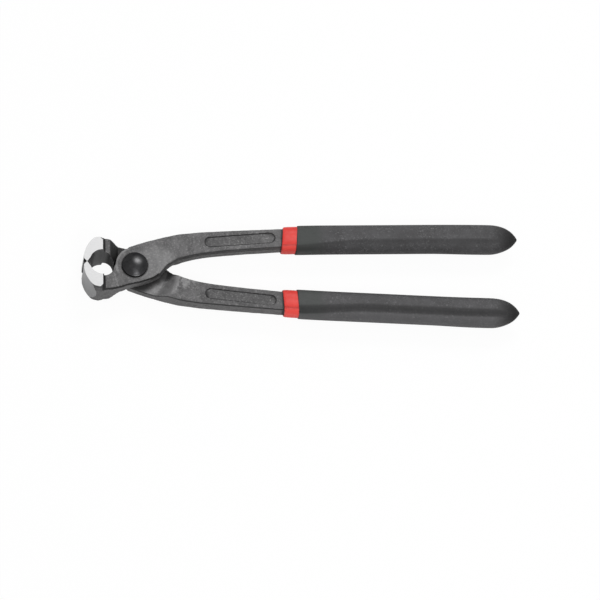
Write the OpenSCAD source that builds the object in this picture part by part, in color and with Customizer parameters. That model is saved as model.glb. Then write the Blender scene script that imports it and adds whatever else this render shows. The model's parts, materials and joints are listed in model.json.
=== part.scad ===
/* [Overall] */
// Length of the closed tool, from the front of the jaws to the ends of the grips
tool_length = 220; // [200:1:260]
// Distance from the rivet axis to the front of the jaws
jaw_reach = 25.7; // [24:0.1:28]
// Distance between the centre lines of the two grips where they are furthest apart
grip_spread = 39.2; // [36:0.2:46]

/* [Jaws] */
// Height of each jaw, from the closing line to its outer side
jaw_height = 13.6; // [12.5:0.1:15]
// Width of the head, across its ground side faces
head_width = 19.8; // [18:0.2:24]
// Width of the jaws behind their ground side faces
cheek_width = 13.8; // [12.6:0.1:15]
// Length of the ground side faces, back from the front of the jaws
ground_length = 9.9; // [9:0.1:11]
// Run of the step between a ground side face and the cheek behind it
ground_step_run = 0.5; // [0.2:0.1:1]
// Radius of the round space between the jaws
mouth_r = 6.5; // [5.5:0.1:7]
// Distance from the rivet axis to the centre of the round space
mouth_reach = 16.4; // [16.4:0.1:17]
// Distance that the cutting edges stand back from the front of the jaws
edge_setback = 1.5; // [1:0.1:2]
// Height of the ground bevel in front of each cutting edge
front_bevel_h = 1.6; // [1:0.1:2.2]
// Angle about the middle of the round space at which the bevel behind each cutting edge runs into it
bevel_angle = 55; // [48:1:62]
// Gap left between the two cutting edges when the tool is closed
edge_gap = 0.1; // [0.06:0.02:0.3]

/* [Joint] */
// Thickness of the two plates of the joint together
joint_t = 11.2; // [9.6:0.1:12]
// Radius of the round end of each plate, about the rivet
plate_end_r = 9.7; // [9:0.1:9.8]
// Clearance between the two sliding faces
slide_gap = 0.1; // [0.06:0.02:0.3]
// Clearance between the round end of a plate and the other lever's shoulder
shoulder_clear = 0.35; // [0.3:0.05:0.6]
// Distance from the rivet axis to the foot of the shoulder
shoulder_reach = 8; // [7.4:0.1:8.6]
// Distance that the shoulder leans forward between its foot and the cheek
shoulder_lean = 4.4; // [3:0.1:5]
// Distance from the rivet axis to the crotch, where the inner edges of the levers cross
crotch_reach = 15.8; // [15:0.1:17]

/* [Rivet] */
// Diameter of the rivet's domed heads
rivet_head_d = 13.5; // [11:0.1:15]
// Height of the rivet's domed heads
rivet_head_h = 3.1; // [2.4:0.1:4]
// Height of the straight rim under each dome
rivet_rim_h = 1; // [0.5:0.1:1.5]
// Diameter of the rivet's shank
rivet_shank_d = 8; // [6:0.1:9]
// Radial running clearance between the shank and the back lever
running_clear = 0.05; // [0.02:0.01:0.1]

/* [Handles] */
// Thickness of the bare handles
handle_t = 8.5; // [7:0.1:9.4]
// Width of the bare handles where they enter the sleeves
handle_w = 10.4; // [9:0.1:11]
// Height of the handle's inner side above the centre line, where it enters the sleeves
handle_rise = 11.7; // [10.6:0.1:14]
// Sliding face left between the crotch and the ramp behind it
ramp_land = 0.6; // [0.4:0.1:1]
// Length of the ramp on which the back of the lever steps down behind the joint
ramp_length = 6.8; // [5:0.1:8]
// Length over which the front of the lever falls from the joint to the handle
front_fall = 13.6; // [10:0.1:18]
// Slope of the forged sides, as a width lost at each corner
side_draft = 0.4; // [0.2:0.05:0.7]
// Width of the end of the tang inside the grip
tang_end_w = 6.2; // [5:0.1:8]
// Thickness of the end of the tang inside the grip
tang_end_t = 4.8; // [4:0.1:6]

/* [Recessed panels] */
// Length of the recessed panel on each face of a handle
panel_length = 35.8; // [30:0.1:38]
// Width of the recessed panel
panel_width = 5.5; // [4.6:0.1:6]
// Depth of the recessed panel
panel_depth = 0.5; // [0.3:0.05:0.8]
// Distance from the rivet axis to the middle of the panel
panel_reach = 53.1; // [52:0.1:54]
// Slant of the panel against the tool's centre line, in degrees
panel_slant = 5.6; // [4.6:0.1:6.6]

/* [Sleeves] */
// Distance from the rivet axis to the mouth of the inner sleeves
sleeve_reach = 74.5; // [72:0.5:80]
// Length of inner sleeve left showing in front of the outer grip
collar_length = 7.3; // [5:0.1:10]
// Width of the inner sleeve at its mouth
collar_w = 13.7; // [13.4:0.1:15]
// Thickness of the inner sleeve at its mouth
collar_t = 10.6; // [10.4:0.1:12]
// Rounding of the inner sleeve's mouth
collar_lip = 0.5; // [0.2:0.1:0.6]
// Width of the outer grip
grip_w = 14.9; // [14.6:0.1:18]
// Thickness of the outer grip
grip_t = 11.4; // [11.2:0.1:14]
// Wall of the outer grip at its mouth
grip_mouth_wall = 0.45; // [0.3:0.05:0.8]
// Wall of the outer grip along its length
grip_wall = 1; // [0.8:0.1:1.2]
// Length of the pointed nose at the end of the outer grip
nose_length = 15.5; // [10:0.5:22]
// Clearance between a handle and its sleeves
sleeve_fit = 0.05; // [0.03:0.01:0.1]

/* [Hidden] */

steel_colour = [0.36, 0.37, 0.38];
rivet_colour = [0.17, 0.17, 0.18];
red_colour = [0.88, 0.28, 0.26];
grip_colour = [0.29, 0.29, 0.30];

// Roundness of the true curves, and the steps between the chosen points of an outline
$fn = 96;
outline_steps = 4;
// Overrun that carries every cut clear of the metal
over = 1;

head_half = head_width / 2;
cheek_half = cheek_width / 2;
plate_top = joint_t / 2;
slide_z = slide_gap / 2;
edge_z = edge_gap / 2;
handle_half = handle_t / 2;
tool_end = tool_length - jaw_reach;
edge_reach = jaw_reach - edge_setback;
ground_x = ground_length - jaw_reach;
grip_reach = sleeve_reach + collar_length;
nose_start = tool_end - nose_length;
tang_end = nose_start - grip_wall;

// The origin is under the middle of the closed tool, at the level of the lower ground faces
shift = [(jaw_reach - tool_end) / 2, 0, head_half];

// Share of the way through a gentle start and stop
function ease(t) = let (s = min(max(t, 0), 1)) s * s * (3 - 2 * s);

// Smooth curve through a table of [x, y] points, read at x
function slope_at(t, i) =
    let (a = max(i - 1, 0), b = min(i + 1, len(t) - 1))
    (t[b][1] - t[a][1]) / (t[b][0] - t[a][0]);
function row_at(t, x, i = 0) = i >= len(t) - 2 || x < t[i + 1][0] ? i : row_at(t, x, i + 1);
function blend(a, b, slope_a, slope_b, s) =
    (1 + 2 * s) * pow(1 - s, 2) * a + s * pow(1 - s, 2) * slope_a
    + s * s * (3 - 2 * s) * b + s * s * (s - 1) * slope_b;
function curve(t, x) =
    let (i = row_at(t, x),
         step = t[i + 1][0] - t[i][0],
         s = min(max((x - t[i][0]) / step, 0), 1))
    blend(t[i][1], t[i + 1][1], slope_at(t, i) * step, slope_at(t, i + 1) * step, s);

// Smooth line through chosen points
function tangent_at(p, i) = (p[min(i + 1, len(p) - 1)] - p[max(i - 1, 0)]) / 2;
function smooth(p) =
    concat([for (i = [0:len(p) - 2]) for (k = [0:outline_steps - 1])
                blend(p[i], p[i + 1], tangent_at(p, i), tangent_at(p, i + 1), k / outline_steps)],
           [p[len(p) - 1]]);

// Outer side of the jaw, from above its front bevel back over the shoulder to the joint:
// shares of the jaw's reach and of its height
jaw_side_shares = [[0.996, 0.316], [0.953, 0.559], [0.879, 0.787], [0.786, 0.956], [0.681, 1], [0.564, 0.989],
                   [0.467, 0.956], [0.381, 0.904], [0.288, 0.86]];
jaw_side = concat(
    [[-jaw_reach, -front_bevel_h]],
    smooth([for (s = jaw_side_shares) [-s[0] * jaw_reach, -s[1] * jaw_height]]));

// Inner edge of the lever from the jaw to the crotch: shares of the crotch's reach and of the plate's radius
under_joint_shares = [[-0.468, -1.206], [-0.266, -1.134], [-0.063, -1.055], [0.24, -0.917], [0.544, -0.737],
                      [0.703, -0.577], [0.823, -0.371], [0.93, -0.134]];
// From the crotch to the sleeve: shares of that run and of the edge's rise
under_handle_shares = [[0, 0], [0.028, 0.119], [0.072, 0.271], [0.14, 0.424], [0.213, 0.525], [0.293, 0.623],
                       [0.446, 0.737], [0.685, 0.864], [1, 1]];
// Outer edge of the lever: shares of the crotch's reach and of the plate's radius, then of the run and the rise
upper_joint_shares = [[-0.196, 0.995], [0.089, 1.163], [0.392, 1.323], [0.747, 1.495]];
upper_handle_shares = [[0, 0.705], [0.075, 0.765], [0.14, 0.813], [0.213, 0.848], [0.293, 0.875], [0.48, 0.912],
                       [0.685, 0.949], [1, 1]];
neck_run = sleeve_reach - crotch_reach;
outer_rise = handle_rise + handle_w;
under_edge = concat(
    [for (s = under_joint_shares) [s[0] * crotch_reach, s[1] * plate_end_r]],
    [for (s = under_handle_shares) [crotch_reach + s[0] * neck_run, s[1] * handle_rise]]);
upper_edge = concat(
    [for (s = upper_joint_shares) [s[0] * crotch_reach, s[1] * plate_end_r]],
    [for (s = upper_handle_shares) [crotch_reach + s[0] * neck_run, s[1] * outer_rise]]);

// Centre line of the handle: midway between its edges, then through the grip, where it is given as shares
// of the grip's run and of the rise from the sleeve's mouth to the widest place
grip_line_shares = [[0, 0], [0.155, 0.28], [0.42, 0.62], [0.7, 0.97], [0.87, 1.08], [1, 1.1]];
mouth_y = handle_rise + handle_w / 2;
grip_line = [for (s = grip_line_shares)
    [sleeve_reach + s[0] * (tool_end - sleeve_reach), mouth_y + s[1] * (grip_spread / 2 - mouth_y)]];
function handle_y(x) = x < sleeve_reach ? (curve(under_edge, x) + curve(upper_edge, x)) / 2
                                        : curve(grip_line, x);

// Cross-sections have the same count of points on each side, from the back to the front
side_points = 12;
function both_sides(half) = concat(half, [for (i = [len(half) - 1:-1:0]) [-half[i][0], half[i][1]]]);

// Forged section: shares of the width lost at a corner and of the half thickness, widest at the parting line,
// with two more points across each flat face, as shares of the half width
forged_corner_shares = [[1.6, -1], [1, -0.93], [0.67, -0.5], [0.33, 0], [0, 0.4], [0.53, 0.8], [1, 0.93], [1.6, 1]];
flat_shares = [0.3, 0.65];
function forged_half(half_w, draft) = concat(
    [for (s = flat_shares) [s * half_w, -1]],
    [for (s = forged_corner_shares) [half_w - s[0] * draft, s[1]]],
    [for (i = [len(flat_shares) - 1:-1:0]) [flat_shares[i] * half_w, 1]]);

// Soft section: a rounded box that nears an ellipse as its squareness share falls
function soft_half(half_w, squareness_share) = [for (k = [0:side_points - 1])
    let (a = 180 * (k + 1 / 2) / side_points - 90, power = 1 - squareness_share)
    [half_w * pow(cos(a), power), sign(sin(a)) * pow(abs(sin(a)), power)]];
collar_square_share = 0.3;
grip_square_share = 0.18;

// The back of the lever steps down from its sliding face on a ramp about the rivet, and the front falls
// from the plate to the handle
ramp_start = crotch_reach + ramp_land;
function back_z(x, y) =
    slide_z - (handle_half + slide_z) * ease((norm([x, y]) - ramp_start) / ramp_length);
function front_z(x) = plate_top + (handle_half - plate_top) * ease((x - crotch_reach) / front_fall);

// One cross-section of the forged handle and its tang, grown by a clearance
function tang_share(x) = min(max((x - sleeve_reach) / (tang_end - sleeve_reach), 0), 1);
function tang_w(x) = handle_w + (tang_end_w - handle_w) * tang_share(x);
function tang_t(x) = handle_t + (tang_end_t - handle_t) * tang_share(x);
function forged_w(x) = x < sleeve_reach ? curve(upper_edge, x) - curve(under_edge, x) : tang_w(x);
function forged_ring(x, grow = 0) =
    let (draft = side_draft * ease((x - crotch_reach) / front_fall),
         half_t = tang_t(x) / 2 + grow)
    [for (s = both_sides(forged_half(forged_w(x) / 2 + grow, draft)))
        let (y = handle_y(x) + s[0],
             top = x < sleeve_reach ? front_z(x) : half_t,
             bottom = x < sleeve_reach ? back_z(x, y) : -half_t)
        [x, y, (top + bottom) / 2 + s[1] * (top - bottom) / 2]];

// A closed skin over rings of equal count: its ends are fans about their own middles
function ring_middle(r) = [for (k = [0:2]) (min([for (p = r) p[k]]) + max([for (p = r) p[k]])) / 2];
function band(n, a, b) = [for (i = [0:n - 1]) let (j = (i + 1) % n)
    each [[a + i, b + i, a + j], [a + j, b + i, b + j]]];
function fan(n, a, tip, flip) = [for (i = [0:n - 1]) let (j = (i + 1) % n)
    flip ? [tip, a + j, a + i] : [tip, a + i, a + j]];
module skin(rings) {
    n = len(rings[0]);
    last = len(rings) - 1;
    points = concat([for (r = rings) each r], [ring_middle(rings[0]), ring_middle(rings[last])]);
    faces = concat(
        [for (k = [0:last - 1]) each band(n, k * n, (k + 1) * n)],
        fan(n, 0, (last + 1) * n, false),
        fan(n, last * n, (last + 1) * n + 1, true));
    polyhedron(points, faces, convexity = 6);
}

// The forged handle from inside the joint to the end of the tang, with its stations closest at the ramp
handle_start_share = 0.3;
handle_start = handle_start_share * crotch_reach;
neck_end = crotch_reach + front_fall;
neck_stations = 24;
shank_stations = 12;
tang_stations = 8;
function station(from, to, k, count) = from + (to - from) * k / count;
module forged_handle() {
    skin([
        for (k = [0:neck_stations]) forged_ring(station(handle_start, neck_end, k, neck_stations)),
        for (k = [1:shank_stations]) forged_ring(station(neck_end, sleeve_reach, k, shank_stations)),
        for (k = [1:tang_stations]) forged_ring(station(sleeve_reach, tang_end, k, tang_stations))
    ]);
}

// The lever's plate: its round end and its body up to the forged handle
plate_stop = handle_start + over;
module plate() {
    outline = concat(
        smooth([for (p = under_edge) if (p[0] < plate_stop) p]),
        [[plate_stop, curve(under_edge, plate_stop)], [plate_stop, curve(upper_edge, plate_stop)]],
        [for (i = [len(upper_edge) - 1:-1:0]) if (upper_edge[i][0] < plate_stop) upper_edge[i]]);
    translate([0, 0, slide_z]) {
        linear_extrude(plate_top - slide_z) polygon(outline);
        cylinder(r = plate_end_r, h = plate_top - slide_z);
    }
}

// The jaw seen from the front, closed at the root by a line inside the plate
jaw_root = -shoulder_reach / 2;
module jaw_outline() {
    polygon(concat(
        [[-edge_reach, -edge_z]],
        jaw_side,
        [[jaw_root, -plate_end_r], [jaw_root, -edge_z]]));
}

// The jaw seen from its side: ground faces, step, cheeks, and the shoulder that faces the other plate
step_x = ground_x + ground_step_run;
module jaw_profile() {
    polygon([[-jaw_reach - over, -head_half], [ground_x, -head_half], [step_x, -cheek_half],
             [-shoulder_reach - shoulder_lean, -cheek_half], [-shoulder_reach, slide_z], [jaw_root, slide_z],
             [jaw_root, plate_top], [-plate_end_r, plate_top], [step_x, cheek_half],
             [ground_x, head_half], [-jaw_reach - over, head_half]]);
}

// Round space between the jaws, drawn in to a point at the cutting edges
module mouth() {
    meet_x = -mouth_reach - mouth_r * cos(bevel_angle);
    meet_y = mouth_r * sin(bevel_angle);
    linear_extrude(head_width + 2 * over, center = true) {
        translate([-mouth_reach, 0]) circle(mouth_r);
        polygon([[-edge_reach, 0], [meet_x, meet_y], [-mouth_reach, 0], [meet_x, -meet_y]]);
    }
}

module jaw() {
    difference() {
        intersection() {
            linear_extrude(head_width, center = true) jaw_outline();
            rotate([90, 0, 0]) linear_extrude(2 * (jaw_height + over), center = true) jaw_profile();
        }
        mouth();
        translate([0, 0, slide_z - head_half]) cylinder(r = plate_end_r + shoulder_clear, h = head_half);
    }
}

// Recesses with round ends, one in each face of the handle
module panels() {
    straight = panel_length - panel_width;
    for (z = [handle_half - panel_depth, -handle_half - over])
        translate([panel_reach, handle_y(panel_reach), z])
            rotate([0, 0, panel_slant])
                linear_extrude(panel_depth + over) {
                    square([straight, panel_width], center = true);
                    for (side = [-1, 1]) translate([side * straight / 2, 0]) circle(d = panel_width);
                }
}

// The forging, its jaw below the closing line and its plate in front, bored for the rivet
module forging(radial_clear) {
    difference() {
        union() {
            jaw();
            plate();
            forged_handle();
        }
        panels();
        cylinder(r = rivet_shank_d / 2 + radial_clear, h = joint_t + 2 * over, center = true);
    }
}

module turned_over() {
    rotate([180, 0, 0]) children();
}

// Sizes of the sleeves along the handle: as wide as the collar at the grip's mouth, then swelling to the grip
swell_run = 4 * collar_length;
function swell(x) = ease((x - grip_reach) / swell_run);
function wall_at(x) = grip_mouth_wall + (grip_wall - grip_mouth_wall) * swell(x);
function grip_w_at(x) = let (at_mouth = collar_w + 2 * grip_mouth_wall) at_mouth + (grip_w - at_mouth) * swell(x);
function grip_t_at(x) = let (at_mouth = collar_t + 2 * grip_mouth_wall) at_mouth + (grip_t - at_mouth) * swell(x);

// The sleeves' mouths lean, so that each ring is sheared along the handle, less and less towards the nose
mouth_lean_share = 0.078;
function lean(x, p) =
    [p[0] + mouth_lean_share * (1 - ease((x - sleeve_reach) / swell_run)) * (p[1] - handle_y(x)), p[1], p[2]];

// One ring of a sleeve, grown by a clearance, or drawn in to a share of its size at the nose
function soft_ring(x, grow = 0, size_share = 1) =
    let (squareness = collar_square_share + (grip_square_share - collar_square_share) * swell(x),
         half_w = grip_w_at(x) / 2 + grow,
         half_t = grip_t_at(x) / 2 + grow)
    [for (s = both_sides(soft_half(half_w, squareness)))
        lean(x, [x, handle_y(x) + s[0] * size_share, s[1] * half_t * size_share])];

// Share of the full section left at a share of the way from the tip of the nose back to its start
nose_taper = 2.5;
nose_bluntness = 0.85;
nose_crowding = 1.6;
nose_stations = 7;
tip_share = 0.04;
function nose_share(back_share) = max(pow(1 - pow(1 - back_share, nose_taper), nose_bluntness), tip_share);
function nose_back(k) = pow(1 - k / nose_stations, nose_crowding);

// Rings of a sleeve along its body, and then to its closed end
body_stations = 20;
function body_rings(from, grow) = [for (k = [0:body_stations])
    let (x = station(from, nose_start, k, body_stations)) soft_ring(x, grow)];
function nose_rings(length, grow) = [for (k = [1:nose_stations])
    soft_ring(nose_start + length * (1 - nose_back(k)), grow, nose_share(nose_back(k)))];

// Outside of the inner sleeve from a station to its closed end, grown by a clearance
inner_nose_share = 1 / 3;
function inner_ring(x, clear) = soft_ring(x, clear - wall_at(x));
function inner_outside(from, clear) = concat(
    [for (k = [0:body_stations]) inner_ring(station(from, nose_start, k, body_stations), clear)],
    nose_rings(inner_nose_share * nose_length, clear - grip_wall));

// A sleeve runs in one skin from the bottom of its bore to its mouth, over a rounded lip and back outside
lip_share = 0.6;
function reversed(list) = [for (k = [len(list) - 1:-1:0]) list[k]];
function lip(bore_ring, outer_ring) =
    [for (i = [0:len(bore_ring) - 1]) bore_ring[i] * (1 - lip_share) + outer_ring[i] * lip_share];
module sleeve(bore, mouth_ring, outside) {
    skin(concat(reversed(bore), [lip(bore[0], mouth_ring)], outside));
}

module inner_sleeve() {
    bore_mouth = [for (p = forged_ring(sleeve_reach, sleeve_fit)) lean(sleeve_reach, p)];
    bore_rest = [for (k = [1:tang_stations])
        forged_ring(station(sleeve_reach, tang_end + sleeve_fit, k, tang_stations), sleeve_fit)];
    sleeve(concat([bore_mouth], bore_rest), inner_ring(sleeve_reach, 0),
           inner_outside(sleeve_reach + collar_lip, 0));
}

module outer_grip() {
    sleeve(inner_outside(grip_reach, sleeve_fit), soft_ring(grip_reach),
           concat(body_rings(grip_reach + grip_mouth_wall / 2, 0), nose_rings(nose_length, 0)));
}

module front_lever() {
    color(steel_colour) translate(shift) forging(0);
}

module back_lever() {
    color(steel_colour) translate(shift) turned_over() forging(running_clear);
}

// The rivet: a shank with a domed head at each end, the front one seated and the back one free to turn
module rivet_half(head_gap) {
    head_r = rivet_head_d / 2;
    dome_h = rivet_head_h - rivet_rim_h;
    dome_r = (head_r * head_r + dome_h * dome_h) / (2 * dome_h);
    cylinder(d = rivet_shank_d, h = plate_top + head_gap);
    translate([0, 0, plate_top + head_gap]) {
        cylinder(r = head_r, h = rivet_rim_h);
        intersection() {
            translate([0, 0, rivet_rim_h]) cylinder(r = head_r, h = dome_h);
            translate([0, 0, rivet_head_h - dome_r]) sphere(dome_r);
        }
    }
}

module rivet() {
    color(rivet_colour) translate(shift) {
        rivet_half(0);
        turned_over() rivet_half(running_clear);
    }
}

module upper_inner_sleeve() {
    color(red_colour) translate(shift) inner_sleeve();
}

module lower_inner_sleeve() {
    color(red_colour) translate(shift) turned_over() inner_sleeve();
}

module upper_outer_grip() {
    color(grip_colour) translate(shift) outer_grip();
}

module lower_outer_grip() {
    color(grip_colour) translate(shift) turned_over() outer_grip();
}

front_lever();
back_lever();
rivet();
upper_inner_sleeve();
lower_inner_sleeve();
upper_outer_grip();
lower_outer_grip();
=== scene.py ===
# End cutting nippers: two forged levers on a domed rivet, with red collars and dark grey dipped grips
import json
import math

import bmesh
import bpy
from mathutils import Matrix, Vector, noise
from mathutils.bvhtree import BVHTree


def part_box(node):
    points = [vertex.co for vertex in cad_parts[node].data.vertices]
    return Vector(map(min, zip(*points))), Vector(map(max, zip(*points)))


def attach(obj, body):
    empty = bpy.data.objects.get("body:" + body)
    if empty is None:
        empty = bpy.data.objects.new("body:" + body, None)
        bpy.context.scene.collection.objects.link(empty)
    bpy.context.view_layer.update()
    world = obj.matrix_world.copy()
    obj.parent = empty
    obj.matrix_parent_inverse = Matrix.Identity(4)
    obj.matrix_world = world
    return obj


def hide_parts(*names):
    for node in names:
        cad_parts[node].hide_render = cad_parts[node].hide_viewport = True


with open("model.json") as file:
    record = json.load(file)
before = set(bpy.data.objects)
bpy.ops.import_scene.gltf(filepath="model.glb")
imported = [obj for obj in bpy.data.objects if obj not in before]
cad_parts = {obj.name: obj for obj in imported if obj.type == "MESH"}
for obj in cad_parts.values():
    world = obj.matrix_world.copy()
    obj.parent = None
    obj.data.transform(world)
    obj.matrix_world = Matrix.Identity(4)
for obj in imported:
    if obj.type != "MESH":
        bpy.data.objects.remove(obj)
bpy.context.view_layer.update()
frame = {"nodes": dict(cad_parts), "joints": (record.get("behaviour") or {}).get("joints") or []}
pivot = Vector(frame["joints"][0]["pos_m"])
mm = 0.001

# Sizes of the head, from the rivet axis
head_half = 9.9 * mm
mouth_reach = 16.4 * mm
mouth_centre = Vector((-mouth_reach, 0, 0))
mouth_r = 6.5 * mm
mouth_back_r = 5.8 * mm
bevel_angle = math.radians(55)
jaw_reach = 25.7 * mm
edge_reach = 24.2 * mm
edge_gap = 0.05 * mm
front_bevel_h = 1.6 * mm
bend_x = -21.7 * mm
ground_x = -15.8 * mm
cheek_x = -9.7 * mm
cheek_run = 5.6 * mm
cheek_rise = 1.3 * mm
plate_top = 5.6 * mm

# Metal left on for grinding and boring, the grain of the raw forging, and half the length of a cutter
grinding_stock = 0.5 * mm
mouth_stock = 1.1 * mm
forging_grain = 0.36 * mm
cutter_half = 12 * mm

# Crown of the jaw's outer side, and the rounding of its corners
crown_rise = 0.35 * mm
crown_skin = 3 * mm
crown_fade = 4 * mm
tip_corner_r = 0.35 * mm
cheek_corner_growth = 3.2 * mm

# Lean of the forged walls at the throat and under the plate, and where along the tool each one leans
throat_foot = 0.8 * mm
throat_lean = 1.1 * mm
throat_run = (13.5 * mm, 16 * mm, 4 * mm)
plate_lean = 0.6 * mm
plate_run = (-14 * mm, 11 * mm, 2 * mm)

# Sizes of the handles, and the runs over which their faces step down from the plates
handle_half = 4.25 * mm
front_neck = (15.8 * mm, 29.4 * mm)
back_neck = (16.4 * mm, 23.2 * mm)
collar_edge = (73.6 * mm, 74.1 * mm)

# Sizes of the recessed panels
panel_length = 35.8 * mm
panel_width = 5.5 * mm
panel_straight = (panel_length - panel_width) / 2
panel_depth = 0.5 * mm
panel_reach = 53.1 * mm
panel_slant = math.radians(5.6)
groove_width = 0.62 * mm
groove_depth = 0.45 * mm

# Sizes of the rivet
rivet_head_r = 6.5 * mm
rivet_head_h = 3.1 * mm
rivet_rim_h = 1.0 * mm
rivet_shank_r = 4.0 * mm
running_gap = 0.05 * mm
round_steps = 96

# Sizes of the dipped coats
nose_length = 15.5 * mm
nose_fullness = 0.3
nose_run = 3.5 * mm
crease_spread = math.radians(42)
crease_rise = 0.65 * mm
shoulder_fullness = 0.4 * mm


# Finishes

class Finish:
    """A steel or plastic finish made of noise that follows the piece's own place"""

    def __init__(self, name, metallic, specular=0.5):
        self.material = bpy.data.materials.new(name)
        self.material.use_nodes = True
        self.nodes = self.material.node_tree.nodes
        self.links = self.material.node_tree.links
        self.shader = self.nodes["Principled BSDF"]
        self.shader.inputs["Metallic"].default_value = metallic
        self.shader.inputs["Specular IOR Level"].default_value = specular
        self.place = self.nodes.new("ShaderNodeTexCoord").outputs["Object"]
        self.relief = None

    def stretched(self, scale, turn=(0, 0, 0)):
        """The piece's own place, drawn together along each axis by this scale"""
        mapping = self.nodes.new("ShaderNodeMapping")
        mapping.inputs["Scale"].default_value = scale
        mapping.inputs["Rotation"].default_value = turn
        self.links.new(self.place, mapping.inputs["Vector"])
        return mapping.outputs["Vector"]

    def grain(self, size, detail=4.0, roughness=0.55, place=None, distortion=0.0):
        """Noise whose patches are about this size in metres"""
        node = self.nodes.new("ShaderNodeTexNoise")
        node.inputs["Scale"].default_value = 1 / size
        node.inputs["Detail"].default_value = detail
        node.inputs["Roughness"].default_value = roughness
        node.inputs["Distortion"].default_value = distortion
        self.links.new(place or self.place, node.inputs["Vector"])
        return node.outputs["Fac"]

    def spread(self, value, low, high, from_low, from_high, smooth=False):
        """The value carried from one range to another, held at its ends"""
        node = self.nodes.new("ShaderNodeMapRange")
        node.interpolation_type = "SMOOTHSTEP" if smooth else "LINEAR"
        node.inputs["From Min"].default_value = from_low
        node.inputs["From Max"].default_value = from_high
        node.inputs["To Min"].default_value = low
        node.inputs["To Max"].default_value = high
        self.links.new(value, node.inputs["Value"])
        return node.outputs["Result"]

    def share(self, value, start, full, smooth=False):
        """How far the value has come between two values, from 0 to 1"""
        return self.spread(value, 0, 1, start, full, smooth)

    def both(self, kind, a, b):
        """Two values or numbers taken together by this kind of sum"""
        node = self.nodes.new("ShaderNodeMath")
        node.operation = kind
        for socket, value in zip(node.inputs, (a, b)):
            if isinstance(value, (int, float)):
                socket.default_value = value
            else:
                self.links.new(value, socket)
        return node.outputs["Value"]

    def axis(self, name):
        """The piece's own place along one axis"""
        split = self.nodes.new("ShaderNodeSeparateXYZ")
        self.links.new(self.place, split.inputs["Vector"])
        return split.outputs[name]

    def edge(self):
        """How sharply the surface is bent outwards"""
        return self.nodes.new("ShaderNodeNewGeometry").outputs["Pointiness"]

    def mark(self, name):
        """A share that the piece carries at each point, such as its painted shade or painted light"""
        node = self.nodes.new("ShaderNodeAttribute")
        node.attribute_name = name
        return node.outputs["Fac"]

    def tint(self, share, first, second):
        """A colour that goes from the first to the second with the share"""
        node = self.nodes.new("ShaderNodeMix")
        node.data_type = "RGBA"
        for name, value in (("A", first), ("B", second)):
            socket = next(s for s in node.inputs if s.name == name and s.type == "RGBA")
            if isinstance(value, tuple):
                socket.default_value = (*value, 1)
            else:
                self.links.new(value, socket)
        factor = next(s for s in node.inputs if s.name == "Factor" and s.type == "VALUE")
        self.links.new(share, factor)
        return next(s for s in node.outputs if s.type == "RGBA")

    def over(self, base, share, strength, colour):
        """The base with a colour laid over it by the share, at most at this strength"""
        return self.tint(self.both("MULTIPLY", share, strength), base, colour)

    def colour(self, value):
        self.links.new(value, self.shader.inputs["Base Color"])

    def rough(self, value, low, high):
        """Roughness between low and high, as the noise goes"""
        self.links.new(self.spread(value, low, high, 0.3, 0.7), self.shader.inputs["Roughness"])

    def bump(self, height, depth, strength):
        """Raises the surface by the height, which counts in depths of this many metres"""
        node = self.nodes.new("ShaderNodeBump")
        node.inputs["Strength"].default_value = strength
        node.inputs["Distance"].default_value = depth
        self.links.new(height, node.inputs["Height"])
        if self.relief is not None:
            self.links.new(self.relief, node.inputs["Normal"])
        self.relief = node.outputs["Normal"]
        self.links.new(self.relief, self.shader.inputs["Normal"])


def forged_scale():
    """Dark scale left by forging, mottled and worn at the edges, with painted light and painted shade from
    the marks the lever carries
    """
    f = Finish("forged_scale", metallic=0.35, specular=0.3)
    cloud = f.share(f.grain(5.5 * mm, 5, 0.6), 0.36, 0.64)
    base = f.tint(cloud, (0.066, 0.065, 0.066), (0.106, 0.104, 0.106))
    fleck = f.share(f.grain(0.9 * mm, 5, 0.7), 0.53, 0.70)
    base = f.over(base, fleck, 0.6, (0.27, 0.268, 0.265))
    pit = f.spread(f.grain(1.6 * mm, 4, 0.6), 1, 0, 0.30, 0.42)
    base = f.over(base, pit, 0.5, (0.04, 0.039, 0.04))
    wear_and_painted_light = f.share(f.edge(), 0.53, 0.62)
    wear_and_painted_light = f.both("MULTIPLY", wear_and_painted_light, f.share(f.grain(2.2 * mm), 0.4, 0.6))
    base = f.over(base, wear_and_painted_light, 0.6, (0.42, 0.42, 0.41))
    # Painted light, then painted shade and shadow, from the marks the lever carries
    base = f.over(base, f.mark("rub"), 0.8, (0.40, 0.40, 0.40))
    f.colour(f.over(base, f.mark("soot"), 0.96, (0.008, 0.008, 0.008)))
    f.rough(f.grain(1.4 * mm, 4), 0.42, 0.66)
    f.bump(f.grain(2.4 * mm, 5, 0.6), 0.12 * mm, 0.5)
    f.bump(f.grain(0.45 * mm, 4, 0.65), 0.03 * mm, 0.6)
    return f.material


def stroked_steel(f, strokes, dark, light):
    """Bare steel with the fine strokes of a tool"""
    f.colour(f.tint(f.share(strokes, 0.3, 0.7), dark, light))
    f.bump(strokes, 0.012 * mm, 0.5)


def ground_steel():
    """Bright face left by a grinding wheel, with fine parallel strokes"""
    f = Finish("ground_steel", metallic=0.55)
    strokes = f.grain(1.0 * mm, 5, 0.7, f.stretched((0.35, 6.0, 0.35), (0, 0, 0.5)))
    stroked_steel(f, strokes, (0.405, 0.405, 0.405), (0.50, 0.50, 0.505))
    f.rough(strokes, 0.34, 0.5)
    return f.material


def linished_steel():
    """Outer face of the jaws, smoothed on a belt but not bright"""
    f = Finish("linished_steel", metallic=0.5)
    strokes = f.grain(1.2 * mm, 5, 0.6, f.stretched((0.5, 0.5, 5.0)))
    stroked_steel(f, strokes, (0.235, 0.235, 0.24), (0.33, 0.33, 0.335))
    f.rough(strokes, 0.36, 0.5)
    return f.material


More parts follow.
